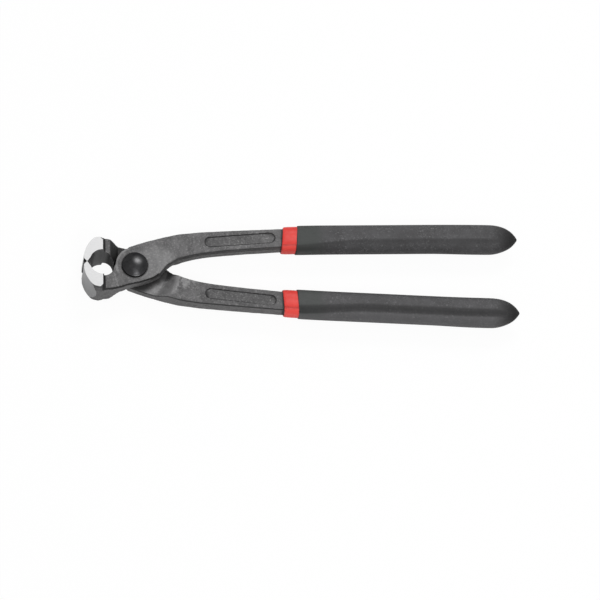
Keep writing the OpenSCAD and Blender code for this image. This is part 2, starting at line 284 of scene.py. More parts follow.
def machined_mouth():
    """Bored walls of the round space between the jaws, with painted shade darkening them towards the joint
    and the edge
    """
    f = Finish("machined_mouth", metallic=0.6)
    rings = f.grain(0.8 * mm, 4, 0.6, f.stretched((2.0, 2.0, 0.5)))
    base = f.tint(f.share(rings, 0.3, 0.7), (0.19, 0.19, 0.192), (0.31, 0.31, 0.314))
    joint_x = (pivot.x - 14.8 * mm, pivot.x - 12.6 * mm)
    edge_x = (pivot.x - 20.9 * mm, pivot.x - 19.7 * mm)
    # Painted shade: darker towards the joint and towards the cutting edge
    towards_joint = f.spread(f.axis("X"), 0, 0.9, *joint_x, smooth=True)
    towards_edge = f.spread(f.axis("X"), 0.8, 0, *edge_x, smooth=True)
    painted_mouth_shade = f.both("MAXIMUM", towards_joint, towards_edge)
    f.colour(f.tint(painted_mouth_shade, base, (0.045, 0.045, 0.046)))
    f.rough(rings, 0.36, 0.52)
    f.bump(rings, 0.012 * mm, 0.5)
    return f.material


def bevel_scale():
    """Dull front bevel of the cutting edge, grey in its middle and painted black towards its ends as shade
    in the notch
    """
    f = Finish("bevel_scale", metallic=0, specular=0.06)
    height = f.both("ABSOLUTE", f.both("SUBTRACT", f.axis("Z"), pivot.z), 0)
    grain = f.grain(1.2 * mm, 4, 0.6)
    middle_grey = f.tint(f.share(grain, 0.3, 0.7), (0.12, 0.12, 0.12), (0.19, 0.19, 0.19))
    # Painted shade: black towards the bevel's ends
    towards_end = f.share(height, 4.5 * mm, 6.5 * mm, smooth=True)
    f.colour(f.tint(towards_end, middle_grey, (0.006, 0.006, 0.006)))
    f.rough(grain, 0.6, 0.8)
    f.bump(grain, 0.02 * mm, 0.4)
    return f.material


def blackened_rivet():
    """Black oxide on the rivet, semi-gloss, with a painted highlight on its crown"""
    f = Finish("blackened_rivet", metallic=1.0)
    f.shader.inputs["Specular Tint"].default_value = (0.1, 0.1, 0.1, 1)
    cloud = f.share(f.grain(3.0 * mm, 5, 0.6), 0.35, 0.65)
    base = f.tint(cloud, (0.022, 0.022, 0.023), (0.034, 0.034, 0.035))
    fleck = f.spread(f.grain(0.6 * mm, 4, 0.7), 0, 0.5, 0.6, 0.8)
    base = f.tint(fleck, base, (0.06, 0.06, 0.06))
    # Painted highlight: a lighter spot on the crown
    f.colour(f.tint(f.mark("rub"), base, (0.064, 0.064, 0.065)))
    f.rough(f.grain(1.0 * mm, 4), 0.29, 0.37)
    f.bump(f.grain(1.2 * mm, 4, 0.6), 0.012 * mm, 0.15)
    return f.material


def red_dip():
    """Smooth red plastic of the first coat"""
    f = Finish("red_dip", metallic=0, specular=0.2)
    cloud = f.share(f.grain(4.0 * mm, 4, 0.5), 0.35, 0.65)
    base = f.tint(cloud, (0.66, 0.046, 0.038), (0.72, 0.053, 0.043))
    # Painted light on the facet beside the crease, then painted shade from the coat's marks
    base = f.over(base, f.mark("rub"), 1.4, (1.0, 0.11, 0.09))
    f.colour(f.over(base, f.mark("soot"), 0.45, (0.09, 0.006, 0.005)))
    f.rough(f.grain(1.5 * mm, 3), 0.34, 0.46)
    f.bump(f.grain(1.1 * mm, 3, 0.5), 0.02 * mm, 0.4)
    return f.material


def grey_dip(mouth_x):
    """Dark grey textured coat, smoother behind the collar"""
    f = Finish("grey_dip", metallic=0, specular=0.22)
    textured = f.share(f.axis("X"), mouth_x + 9 * mm, mouth_x + 17 * mm, smooth=True)
    cloud = f.share(f.grain(7.0 * mm, 4, 0.55), 0.35, 0.65)
    base = f.tint(cloud, (0.056, 0.055, 0.057), (0.074, 0.073, 0.076))
    base = f.tint(textured, (0.053, 0.057, 0.055), base)
    crumb = f.grain(0.95 * mm, 4, 0.65, distortion=0.8)
    patch = f.spread(f.grain(6.0 * mm, 3, 0.5), 0.3, 1, 0.42, 0.58)
    patch = f.both("MULTIPLY", patch, textured)
    dimple = f.both("MULTIPLY", f.spread(crumb, 1, 0, 0.34, 0.46), patch)
    base = f.over(base, dimple, 0.45, (0.03, 0.03, 0.03))
    fleck = f.both("MULTIPLY", f.share(crumb, 0.54, 0.68), patch)
    base = f.over(base, fleck, 0.7, (0.175, 0.175, 0.177))
    # Painted light on the facet beside the crease, then painted shade from the coat's marks
    base = f.tint(f.mark("rub"), base, (0.133, 0.131, 0.135))
    f.colour(f.tint(f.mark("soot"), base, (0.006, 0.006, 0.006)))
    f.rough(f.grain(0.8 * mm, 4), 0.5, 0.72)
    f.bump(f.both("MULTIPLY", crumb, textured), 0.14 * mm, 0.8)
    f.bump(f.grain(0.3 * mm, 3, 0.6), 0.02 * mm, 0.4)
    return f.material


# Soft steps along a line

def ramp(value, low, high):
    """From nothing at low to one at high, eased at both ends"""
    share = min(max((value - low) / (high - low), 0), 1)
    return share * share * (3 - 2 * share)


def band(value, low, high, soft):
    """One between two values, falling to nothing over a soft edge on each side"""
    return ramp(value, low - soft, low) * (1 - ramp(value, high, high + soft))


# Mesh helpers

def made(name, bm):
    """An object from a bmesh, in the scene"""
    mesh = bpy.data.meshes.new(name)
    bm.to_mesh(mesh)
    bm.free()
    thing = bpy.data.objects.new(name, mesh)
    bpy.context.scene.collection.objects.link(thing)
    return thing


def bmesh_of(mesh):
    """The mesh, open for work"""
    bm = bmesh.new()
    bm.from_mesh(mesh)
    return bm


def put_back(bm, mesh):
    """Closes the work on a mesh"""
    bm.to_mesh(mesh)
    bm.free()


def turn_over(bm):
    """Turns a mesh over about the tool's length, as one lever is against the other"""
    bmesh.ops.rotate(bm, cent=pivot, matrix=Matrix.Rotation(math.pi, 3, "X"), verts=bm.verts)


def copy_of(node, turned):
    """The solid's mesh with its loose triangles joined, turned over if it rides with the back lever"""
    bm = bmesh_of(frame["nodes"][node].data)
    bmesh.ops.remove_doubles(bm, verts=bm.verts, dist=0.002 * mm)
    if turned:
        turn_over(bm)
    return bm


def turn_back(mesh):
    """Turns a finished mesh over again, to where its solid lies"""
    bm = bmesh_of(mesh)
    turn_over(bm)
    put_back(bm, mesh)


def settle(thing):
    """Carries the thing's modifiers into its mesh"""
    graph = bpy.context.evaluated_depsgraph_get()
    mesh = bpy.data.meshes.new_from_object(thing.evaluated_get(graph))
    thing.modifiers.clear()
    thing.data = mesh


def machine(thing, operation, tools):
    """Cuts the thing with tools, and drops them"""
    for tool in tools:
        cut = thing.modifiers.new("cut", "BOOLEAN")
        cut.operation = operation
        cut.solver = "MANIFOLD"
        cut.object = tool
    settle(thing)
    for tool in tools:
        bpy.data.objects.remove(tool)


def smooth_with_edges(thing, angle=32):
    """Shades the thing smooth, apart from edges sharper than this"""
    mesh = thing.data
    mesh.polygons.foreach_set("use_smooth", [True] * len(mesh.polygons))
    mesh.set_sharp_from_angle(angle=math.radians(angle))


def keep_marks(mesh, **marks):
    """Keeps on each point of a mesh how much painted shade and painted light it has"""
    for name, shares in marks.items():
        mesh.attributes.new(name, "FLOAT", "POINT").data.foreach_set("value", shares)


def draw_out(bm, faces, run):
    """Makes a solid of flat faces, drawn out along the run"""
    wall = bmesh.ops.extrude_face_region(bm, geom=faces)
    raised = [v for v in wall["geom"] if isinstance(v, bmesh.types.BMVert)]
    bmesh.ops.translate(bm, verts=raised, vec=run)
    bmesh.ops.recalc_face_normals(bm, faces=bm.faces)


def prism(name, corners, run):
    """A solid with this face, given by corners about the rivet axis, drawn out along the run"""
    bm = bmesh.new()
    face = bm.faces.new([bm.verts.new(pivot + Vector(corner)) for corner in corners])
    draw_out(bm, [face], run)
    return made(name, bm)


def drum(name, centre, low_r, high_r, half):
    """A round solid across the tool, from half its length below the joint's middle to half above"""
    bm = bmesh.new()
    bmesh.ops.create_cone(bm, cap_ends=True, segments=round_steps, radius1=low_r, radius2=high_r,
                          depth=2 * half)
    bmesh.ops.translate(bm, verts=bm.verts, vec=pivot + Vector((centre, 0, 0)))
    return made(name, bm)


# Shape of the levers

def leave_stock(bm):
    """Leaves metal on every face that is ground or bored after forging"""
    touch = 0.05 * mm
    near_edge = 0.2 * mm
    for v in bm.verts:
        p = v.co - pivot
        from_mouth = Vector((p.x + mouth_reach, p.y))
        if abs(p.z) > head_half - touch:
            p.z += math.copysign(grinding_stock, p.z)
        if p.x < cheek_x and abs(from_mouth.length - mouth_r) < touch:
            p.x -= from_mouth.x * mouth_stock / mouth_r
            p.y -= from_mouth.y * mouth_stock / mouth_r
        if abs(p.x + edge_reach) < touch and abs(p.y) < near_edge:
            p.x -= grinding_stock
            p.y += grinding_stock
        elif p.x < -jaw_reach + near_edge:
            p.x -= grinding_stock
        v.co = p + pivot


def close_plates(p):
    """Brings the sliding faces closer together, so that no line of light shows between the plates"""
    if abs(p.z) < 0.12 * mm and p.x > -10 * mm:
        p.z *= 0.25


def lean_walls(p):
    """Leans the forged walls of the throat and of the plate"""
    height = max(p.z, 0)
    throat = band(p.x, *throat_run) * (1 - ramp(p.y, 3.5 * mm, 8 * mm))
    p.y -= (throat_foot - throat_lean * height / plate_top) * throat
    plate = band(p.x, *plate_run) * (1 - ramp(p.y, -5 * mm, -1 * mm))
    p.y += plate_lean * min(height / plate_top, 1) * plate


def wear_of_die(p, normal):
    """Leaves the unevenness of the die on the walls and broad faces, but not on the sliding ones"""
    if p.x > ground_x and abs(p.z) > 0.4 * mm and (p.x > -7 * mm or p.y < -3 * mm):
        swell = noise.noise(p / (3.4 * mm)) * 0.07
        ripple = noise.noise(p / (1.3 * mm)) * 0.03
        p += normal * (swell + ripple) * mm


def outer_face(outer, away):
    """Point of the jaw's outer face in this direction from the middle of the mouth, from the rivet axis"""
    far = pivot + mouth_centre + away * 40 * mm + Vector((0, 0, 3 * mm))
    hit = outer.ray_cast(far, -away)[0]
    return None if hit is None else hit - pivot


def round_corner(p, away, depth):
    """Rounds the corner between the jaw's outer face and its side, more towards the cheek"""
    r = tip_corner_r + cheek_corner_growth * ramp(p.x, -18.3 * mm, ground_x)
    side = head_half + grinding_stock - abs(p.z)
    if p.x >= ground_x + 0.6 * mm or depth >= r or side >= r:
        return
    a = r - max(depth, 0)
    b = r - max(side, 0)
    over = math.hypot(a, b) / r
    if over > 1:
        p -= away * (a - a / over)
        p.z -= math.copysign(b - b / over, p.z)


def crown_jaw(p, outer, crown_end, cheek_fullness):
    """Crowns the jaw's outer face across the tool"""
    away = Vector((p.x + mouth_reach, p.y, 0))
    reach = away.length
    away.normalize()
    face = outer_face(outer, away)
    depth = 0 if face is None else (face - mouth_centre).to_2d().length - reach
    near = 1 - ramp(depth, 0, crown_skin)
    height = abs(p.z) / head_half
    past_tip = ramp(p.x, -23.5 * mm, bend_x)
    past_bend = ramp(p.x, bend_x, -18 * mm)
    fall = (0.04 + 0.31 * past_tip + 0.4 * past_bend) * mm * height ** 2
    full = cheek_fullness * ramp(p.x, -19.5 * mm, -16.5 * mm)
    crown = (crown_rise + full - fall) * near
    crown *= 1 - ramp(p.x, crown_end - crown_fade, crown_end)
    p += away * crown
    round_corner(p, away, depth)


def shape_forging(bm, outer, crown_end, cheek_fullness):
    """Gives the raw forging what its die gives it: leaning walls, a crowned jaw and some unevenness"""
    bm.normal_update()
    for v in bm.verts:
        p = v.co - pivot
        close_plates(p)
        lean_walls(p)
        wear_of_die(p, v.normal)
        if p.x <= -3 * mm and p.y <= -1.5 * mm:
            crown_jaw(p, outer, crown_end, cheek_fullness)
        v.co = p + pivot


def jaw_grinding(outer):
    """Everything the grinding leaves: flat side faces, a straight cutting edge and a smooth outer face"""
    first_angle = 188
    angle_step = 3.2
    bend_run = 2.8 * mm
    outer_end_x = -18.4 * mm
    front = []
    for step in range(24):
        angle = math.radians(first_angle + angle_step * step)
        away = Vector((math.cos(angle), math.sin(angle), 0))
        hit = outer_face(outer, away)
        if hit.y < -front_bevel_h - 0.3 * mm and hit.x < outer_end_x:
            proud = crown_rise * min(max((hit.x - bend_x) / bend_run, 0), 2)
            front.append((hit.x + away.x * proud, hit.y + away.y * proud))
    last_x, last_y = front[-1]
    inner_x = -12 * mm
    beyond = 40 * mm
    outline = [(inner_x, -edge_gap), (-edge_reach, -edge_gap), (-jaw_reach, -front_bevel_h)]
    outline += front
    outline += [(last_x + 4 * mm, last_y - 3 * mm), (0, -beyond), (220 * mm, -beyond),
                (220 * mm, beyond), (inner_x, beyond)]
    corners = [(x, y, -head_half) for x, y in outline]
    return prism("jaw_grinding", corners, (0, 0, 2 * head_half))


def mouth_tools(turned):
    """A bore that tapers to the back of the tool, and the bevels behind the cutting edge"""
    middle_r = (mouth_r + mouth_back_r) / 2
    taper = (mouth_r - mouth_back_r) / 2 * cutter_half / head_half
    if turned:
        taper = -taper
    low_r = middle_r - taper
    high_r = middle_r + taper
    bore = drum("mouth_bore", -mouth_reach, low_r, high_r, cutter_half)
    bm = bmesh.new()
    loops = []
    for r, z in ((low_r, -cutter_half), (high_r, cutter_half)):
        meet_x = -mouth_reach - r * math.cos(bevel_angle)
        meet_y = r * math.sin(bevel_angle)
        outline = [(-edge_reach, 0), (meet_x, -meet_y), (-mouth_reach, 0), (meet_x, meet_y)]
        face = bm.faces.new([bm.verts.new(pivot + Vector((x, y, z))) for x, y in outline])
        loops += face.edges[:]
    bmesh.ops.bridge_loops(bm, edges=loops)
    bmesh.ops.recalc_face_normals(bm, faces=bm.faces)
    return [bore, made("mouth_bevel", bm)]


def pad_edge_tools():
    """Break the edge between each ground side face and the step to the cheek"""
    clear = 0.05 * mm
    before = ground_x - 0.45 * mm
    beyond = ground_x + 1.5 * mm
    section = [(before, clear), (beyond, clear), (beyond, -0.1 * mm), (ground_x - 0.1 * mm, -0.42 * mm)]
    tools = []
    for side in (-1, 1):
        corners = [(x, 0, side * (head_half + rise)) for x, rise in section]
        tools.append(prism(f"pad_edge_{len(tools)}", corners, (0, -30 * mm, 0)))
    return tools


def panel_tools(name, middle_y, face):
    """Round-ended punches for the panel on one face of the handle, and for the groove round its floor"""
    middle = (0, 0, 0)
    tools = []
    for grooved in (False, True):
        bm = bmesh.new()
        bmesh.ops.create_circle(bm, cap_ends=True, segments=50, radius=panel_width / 2)
        for v in bm.verts:
            v.co.x += math.copysign(panel_straight, v.co.x)
        depth = panel_depth
        if grooved:
            rim = bmesh.ops.inset_region(bm, faces=bm.faces[:], thickness=groove_width)["faces"]
            bmesh.ops.delete(bm, geom=[f for f in bm.faces if f not in rim], context="FACES")
            depth = panel_depth + groove_depth
        draw_out(bm, bm.faces[:], (0, 0, 2 * depth))
        if face < 0:
            bmesh.ops.rotate(bm, cent=middle, matrix=Matrix.Rotation(math.pi, 3, "X"), verts=bm.verts)
        bmesh.ops.rotate(bm, cent=middle, matrix=Matrix.Rotation(panel_slant, 3, "Z"), verts=bm.verts)
        place = pivot + Vector((panel_reach, middle_y, face * (handle_half - depth)))
        bmesh.ops.translate(bm, verts=bm.verts, vec=place)
        tools.append(made(f"{name}_{len(tools)}", bm))
    return tools


def handle_middle(outer, x):
    """Where the middle of the handle lies across the tool, at this place along it"""
    far = 60 * mm
    top = outer.ray_cast(pivot + Vector((x, far, 0)), Vector((0, -1, 0)))[0]
    low = outer.ray_cast(pivot + Vector((x, -far, 0)), Vector((0, 1, 0)))[0]
    return (top.y + low.y) / 2 - pivot.y


# Dress of the levers

lever_finishes = ("forged", "ground", "linished", "mouth", "bevel")

# Painted shade stripes: where each starts and ends, and how soft its edges are
handle_foot = (0.1 * mm, 1.1 * mm, 0.3 * mm)
throat_side = (0.3 * mm, 2.7 * mm, 0.5 * mm)
plate_side = (-0.2 * mm, 1.3 * mm, 0.12 * mm)
rivet_ring = (6 * mm, 6.75 * mm, 0.2 * mm)
jaw_shoulder = (-12 * mm, -7 * mm, 0.5 * mm)
cheek_foot = (-16.4 * mm, -14.9 * mm, 0.25 * mm)

# Painted highlights and lit bands, given in the same way
plate_ring = (8.8 * mm, 9.6 * mm, 0.25 * mm)
cheek_line = (-0.12 * mm, 0.12 * mm, 0.3 * mm)
back_face = (3.5 * mm, 9 * mm, 2.5 * mm)


def finish_of(face):
    """Finish of one face of a lever, by where it lies and which way it looks"""
    p = face.center - pivot
    n = face.normal
    slack = 0.05 * mm
    past_mouth_x = -9.5 * mm
    outer_end_x = -18 * mm
    mouth_bevel_x = -19.6 * mm
    mouth_bevel_y = -5.4 * mm
    front_bevel_x = -24 * mm
    largest_raw_face = 0.3 * mm * mm
    if p.x < ground_x + 0.6 * mm and abs(abs(p.z) - head_half) < 0.004 * mm and abs(n.z) > 0.99:
        return "ground"
    if p.x >= past_mouth_x or p.y >= 0:
        return "forged"
    from_mouth = Vector((p.x + mouth_reach, p.y))
    inward = n.x * from_mouth.x + n.y * from_mouth.y < 0
    by_the_edge = p.y > -front_bevel_h - slack
    if inward and from_mouth.length < mouth_r + 0.02 * mm:
        return "mouth"
    by_the_bevel = p.x < mouth_bevel_x and p.y > mouth_bevel_y
    if inward and by_the_bevel and abs(n.z) < 0.15 and n.x > 0:
        return "mouth"
    if by_the_edge and n.x < -0.3 and p.x < front_bevel_x:
        return "bevel"
    if face.area > largest_raw_face and abs(n.z) < 0.05 and p.x < outer_end_x:
        return "linished"
    if by_the_edge and abs(n.z) < 0.02 and p.x < -19 * mm:
        return "mouth"
    return "forged"


def front_height(x):
    """Height of the forging's front face above the joint's middle, from the cheek to the handle"""
    if x < cheek_x:
        return plate_top + cheek_rise * min((cheek_x - x) / cheek_run, 1)
    return plate_top + (handle_half - plate_top) * ramp(x, *front_neck)


def back_height(p):
    """Height of its back face, which slides on the other lever and then steps down to the handle"""
    return -handle_half * ramp(math.hypot(p.x, p.y), *back_neck)


def beyond_plate(p):
    """How far a point of the back face lies out from under the other lever's plate"""
    edge_x = 5.9 * mm
    edge_y = 9.5 * mm
    wander = 0.9 * mm * noise.noise(p / (3.2 * mm))
    return 0.47 * (p.x - edge_x) + 0.88 * (p.y - edge_y) + wander


def wall_soot(p, n):
    """Painted shade: dark stripes along the walls, above their foot or below their top"""
    side = ramp(abs(n.y), 0.45, 0.8)
    below = front_height(p.x) - p.z
    above = p.z - back_height(p)
    if n.y > 0:
        return 0.9 * side * band(above, *handle_foot) if p.x > -10 * mm else 0
    soot = 0
    if p.x > 8 * mm:
        soot = 0.55 * side * band(below, *throat_side)
    if -15.6 * mm < p.x < 12 * mm:
        soot = max(soot, ramp(abs(n.y), 0.12, 0.35) * band(below, *plate_side))
    return soot


def head_soot(p, n):
    """Painted shade and shadow on the head: round the rivet, on the shoulder, at the cheek's foot and on
    the corners
    """
    soot = 0
    if p.z > 5 * mm and p.x < 10 * mm:
        soot = 0.8 * band(p.to_2d().length, *rivet_ring)
    if p.x < -7.5 * mm:
        shoulder = ramp(n.x, 0.35, 0.6) * band(p.x, *jaw_shoulder)
        soot = max(soot, 0.97 * shoulder * ramp(-p.z, -1 * mm, 0))
        foot = band(p.x, *cheek_foot)
        soot = max(soot, foot * ramp(abs(p.z), 5.8 * mm, 6.4 * mm) * ramp(-p.y, 5 * mm, 6 * mm))
        if p.y < -8 * mm and p.x > -21.5 * mm:
            soot = max(soot, 0.35 * ramp(abs(p.z), 6.5 * mm, 8.5 * mm))
    return soot


def panel_soot(p, along, across):
    """Painted shade in the groove, on the walls and on the floor of a recessed panel"""
    slack = 0.05 * mm
    inside = panel_width / 2 - math.hypot(max(abs(along) - panel_straight, 0), across)
    if abs(p.z) <= 2 * mm or inside <= -slack:
        return 0
    recessed = inside > -0.02 * mm and abs(p.z) < handle_half - 0.02 * mm
    if recessed and (inside < slack or abs(p.z) < handle_half - panel_depth - 0.25 * mm):
        return 1
    if inside < slack:
        return 0.75
    if recessed:
        return 0.12 if p.z > 0 else 0.2
    return 0


def back_soot(p, n):
    """Painted shadow on the back face under the other lever's plate, and the back face slightly darker
    further along the handle
    """
    soot = 0
    if n.z < -0.3 and p.x > -8 * mm:
        soot = 0.92 * (1 - ramp(beyond_plate(p), -0.3 * mm, 2.8 * mm))
    if n.z < -0.5:
        soot = max(soot, 0.14 * ramp(p.x, 26 * mm, 34 * mm))
    return soot


def rub_at(p, n):
    """Painted light: lighter side walls, a lighter round patch past the rivet, painted highlights round
    the plate and along the cheek's crease, and the lit band of the back face beyond the other plate's
    shadow
    """
    light_patch_x = 11 * mm
    light_patch_y = 1 * mm
    line_x = -10.5 * mm
    line_y = -4.1 * mm
    rub = 0
    if abs(n.y) > 0.7:
        rub = 0.12
    if p.z > 4.6 * mm and p.x > 0:
        from_light_patch = math.hypot(p.x - light_patch_x, p.y - light_patch_y)
        rub = 0.22 * (1 - ramp(from_light_patch, 5 * mm, 13 * mm))
    if p.z > 5 * mm and p.x < 2 * mm:
        upper = ramp(p.y, -6 * mm, -3 * mm)
        ring = band(p.to_2d().length, *plate_ring)
        rub = 0.02 + 0.25 * ring * (1 - ramp(p.x, -6 * mm, 0)) * upper
        from_line = (p.x - line_x) * 0.956 + (p.y - line_y) * 0.292
        rub = max(rub, 0.24 * band(from_line, *cheek_line) * (1 - upper))
    if n.z < -0.5 and abs(p.z) < handle_half:
        patchy = 0.34 + 0.16 * noise.noise(p / (2.6 * mm))
        rub = max(rub, patchy * band(beyond_plate(p), *back_face))
    return rub


def paint_light_and_shade(mesh, middle_y):
    """Paints shade and shadow, and light, on the lever as marks it keeps at each point"""
    panel_middle = Vector((panel_reach, middle_y))
    turn = Matrix.Rotation(-panel_slant, 2)
    soot = []
    rub = []
    for v in mesh.vertices:
        p = v.co - pivot
        n = v.normal
        along, across = turn @ (p.to_2d() - panel_middle)
        # Painted shadow on the steel at the collar's mouth
        by_collar = 0.8 * ramp(p.x, *collar_edge)
        soot.append(max(wall_soot(p, n), head_soot(p, n), panel_soot(p, along, across),
                        back_soot(p, n), by_collar))
        rub.append(rub_at(p, n))
    keep_marks(mesh, soot=soot, rub=rub)


def lever(name, node, body, turned, shank_gap, crown_end, cheek_fullness):
    """A lever forged from its solid, then ground, bored, punched and dressed"""
    bm = copy_of(node, turned)
    outer = BVHTree.FromBMesh(bm)
    middle_y = handle_middle(outer, panel_reach)
    leave_stock(bm)
    piece = made(name, bm)
    forge = piece.modifiers.new("forge", "REMESH")
    forge.mode = "VOXEL"
    forge.voxel_size = forging_grain
    soften = piece.modifiers.new("soften", "SMOOTH")
    soften.factor = 0.5
    soften.iterations = 3
    settle(piece)
    bm = bmesh_of(piece.data)
    shape_forging(bm, outer, crown_end, cheek_fullness)
    put_back(bm, piece.data)
    machine(piece, "INTERSECT", [jaw_grinding(outer)])
    tools = mouth_tools(turned) + pad_edge_tools()
    tools += panel_tools("front_panel_tool", middle_y, 1)
    tools += panel_tools("back_panel_tool", middle_y, -1)
    bore_r = rivet_shank_r + shank_gap
    tools.append(drum("rivet_bore", 0, bore_r, bore_r, cutter_half))
    machine(piece, "DIFFERENCE", tools)
    piece.data.materials.clear()
    for finish in lever_finishes:
        piece.data.materials.append(finishes[finish])
    for face in piece.data.polygons:
        face.material_index = lever_finishes.index(finish_of(face))
    paint_light_and_shade(piece.data, middle_y)
    if turned:
        turn_back(piece.data)
    smooth_with_edges(piece)
    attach(piece, body)
    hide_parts(node)


# Rivet

def rivet_profile():
    """Half section of the rivet from the axis at the front dome to the joint's middle"""
    dome_h = rivet_head_h - rivet_rim_h
    dome_r = (rivet_head_r ** 2 + dome_h ** 2) / (2 * dome_h)
    dome_steps = 12
    top = plate_top + rivet_head_h
    points = []
    for step in range(dome_steps + 1):
        r = rivet_head_r * 0.955 * step / dome_steps
        points.append((r, top - dome_r + math.sqrt(dome_r ** 2 - r ** 2)))
    edge_z = plate_top + rivet_rim_h
    points += [(rivet_head_r * 0.985, edge_z + 0.12 * mm), (rivet_head_r, edge_z - 0.15 * mm),
               (rivet_head_r, plate_top + 0.25 * mm), (rivet_head_r - 0.15 * mm, plate_top),
               (rivet_shank_r, plate_top), (rivet_shank_r, 0)]
    return points


def rivet():
    """The rivet, turned from its half section"""
    half = rivet_profile()
    outline = half + [(r, -z - (running_gap if z > 0 else 0)) for r, z in reversed(half[:-1])]
    bm = bmesh.new()
    verts = [bm.verts.new(pivot + Vector((r, 0, z))) for r, z in outline]
    edges = [bm.edges.new(pair) for pair in zip(verts, verts[1:])]
    bmesh.ops.spin(bm, geom=verts + edges, cent=pivot, axis=(0, 0, 1), angle=2 * math.pi,
                   steps=round_steps, use_merge=True)
    bmesh.ops.remove_doubles(bm, verts=bm.verts, dist=0.001 * mm)
    bmesh.ops.recalc_face_normals(bm, faces=bm.faces)
    piece = made("domed_rivet", bm)
    # Painted highlight: a lighter spot on the dome's crown, kept as a mark
    rubbed_place = Vector((1.2 * mm, 1.8 * mm))
    away = [((v.co - pivot).to_2d() - rubbed_place).length for v in piece.data.vertices]
    keep_marks(piece.data, rub=[1 - ramp(distance, 0.6 * mm, 3.6 * mm) for distance in away])
    piece.data.materials.append(finishes["rivet"])
    smooth_with_edges(piece, 40)
    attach(piece, "front")
    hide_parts("rivet")


# Dipped coats

# Painted shade stripes beside the crease: where each starts and ends, and how soft its edges are
collar_shade = (-0.5 * mm, 0.1 * mm, 0.4 * mm)
hollow_shade = (-1.1 * mm, 1.7 * mm, 1.2 * mm)
hollow_middle = (-0.2 * mm, 0.8 * mm, 0.6 * mm)


def crease_place(x):
    """Where the long crease runs on a coat's section: across and above its middle"""
    drift = ramp(x, 80 * mm, 118 * mm)
    return (-3.5 + 1.9 * drift) * mm, (4.5 + 0.7 * drift) * mm


def shape_coat(mesh, normals, middle_at, turned, over_collar, end_x):
    """Raises a long crease on both broad sides of a coat, and fills its shoulder and nose"""
    nose_x = end_x - nose_length
    places = []
    for v, n in zip(mesh.vertices, normals):
        p = v.co - pivot
        across = p.y - middle_at(p.x)
        line_y, line_z = crease_place(p.x)
        angle = math.atan2(across * line_z - p.z * line_y, across * line_y + p.z * line_z)
        angle = min(abs(angle), math.pi - abs(angle))
        fade = 1 - ramp(p.x, nose_x - 4 * mm, nose_x + 8 * mm)
        ridge = crease_rise * max(1 - angle / crease_spread, 0) * fade
        out = Vector((0, across, p.z)).normalized()
        shoulder = ramp(p.x, end_x - 46 * mm, end_x - 21 * mm)
        shoulder *= 1 - ramp(p.x, end_x - 14 * mm, end_x - 6 * mm)
        shoulder *= max(out.y if turned else -out.y, 0)
        ridge += shoulder_fullness * shoulder
        ridge += nose_fullness * math.exp((p.x - end_x) / nose_run) * math.hypot(across, p.z)
        if over_collar or out.dot(n) > 0:
            p += out * ridge
        places.extend(p + pivot)
    mesh.vertices.foreach_set("co", places)
    mesh.update()


def mark_coat(mesh, normals, middle_at, turned, over_collar, mouth_x, end_x):
    """Paints shade on a coat at its mouth, along the crease, along its upper edge and on the nose, and
    paints light on the facet beside the crease
    """
    nose_x = end_x - nose_length
    towards = 1 if turned else -1
    soot = []
    rub = []
    for v, n in zip(mesh.vertices, normals):
        p = v.co - pivot
        across = p.y - middle_at(p.x)
        line_y, line_z = crease_place(p.x)
        side = 1 if (across * line_y + p.z * line_z) * towards < 0 else -1
        below = (across * line_z - p.z * line_y) / math.hypot(line_y, line_z) * side * towards
        # Painted shade at the nose, along the upper edge and at the mouth
        nose = ramp(p.x, nose_x - 1 * mm, end_x - 1.5 * mm)
        upward = 0.4 * ramp(-n.y * towards, 0.5, 0.85)
        mouth = 0.8 * (1 - ramp(p.x, mouth_x + 0.3 * mm, mouth_x + 0.8 * mm))
        # Painted light on the facet beside the crease
        wear_and_painted_light = 0
        if not over_collar:
            crease = 0.6 * band(below * towards, *collar_shade)
            wear_and_painted_light = 0.3 * ramp(below, 0.2 * mm, 1.6 * mm)
        elif turned:
            crease = 0.62 * band(below, *hollow_shade) + 0.1 * band(below, *hollow_middle)
            wear_and_painted_light = max(0.4 * ramp(below, 1.9 * mm, 3.3 * mm), 0.1)
        else:
            crease = 0.45 * ramp(below, -0.3 * mm, 0.5 * mm)
            crease *= 1 - 0.85 * ramp(below, 1.2 * mm, 5 * mm)
        soot.append(max(nose, upward, crease, mouth))
        rub.append(wear_and_painted_light)
    keep_marks(mesh, soot=soot, rub=rub)


def sleeve(name, node, body, turned, over_collar, finish):
    """A coat of plastic on a handle, from its solid"""
    bm = copy_of(node, turned)
    skin = BVHTree.FromBMesh(bm)
    low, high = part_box(node)
    mouth_x = low.x - pivot.x
    end_x = high.x - pivot.x
    inset = 1.2 * mm
    step = 2 * mm
    count = int((end_x - mouth_x - 2 * inset) / step)
    stations = [mouth_x + inset + k * step for k in range(count)]
    middles = [handle_middle(skin, x) for x in stations]

    def middle_at(x):
        """Where the middle of the coat lies across the tool, at this place along it"""
        place = min(max((x - stations[0]) / step, 0), count - 1.001)
        k = int(place)
        return middles[k] + (middles[k + 1] - middles[k]) * (place - k)

    bmesh.ops.join_triangles(bm, faces=bm.faces, angle_face_threshold=0.6, angle_shape_threshold=0.9)
    piece = made(name, bm)
    rounding = piece.modifiers.new("rounding", "SUBSURF")
    rounding.levels = 2
    rounding.render_levels = 2
    settle(piece)
    normals = [v.normal.copy() for v in piece.data.vertices]
    shape_coat(piece.data, normals, middle_at, turned, over_collar, end_x)
    mark_coat(piece.data, normals, middle_at, turned, over_collar, mouth_x, end_x)
    if turned:
        turn_back(piece.data)
    piece.data.materials.clear()
    piece.data.materials.append(finishes[finish])
    smooth_with_edges(piece, 180)
    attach(piece, body)
    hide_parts(node)


# Floor, light and camera

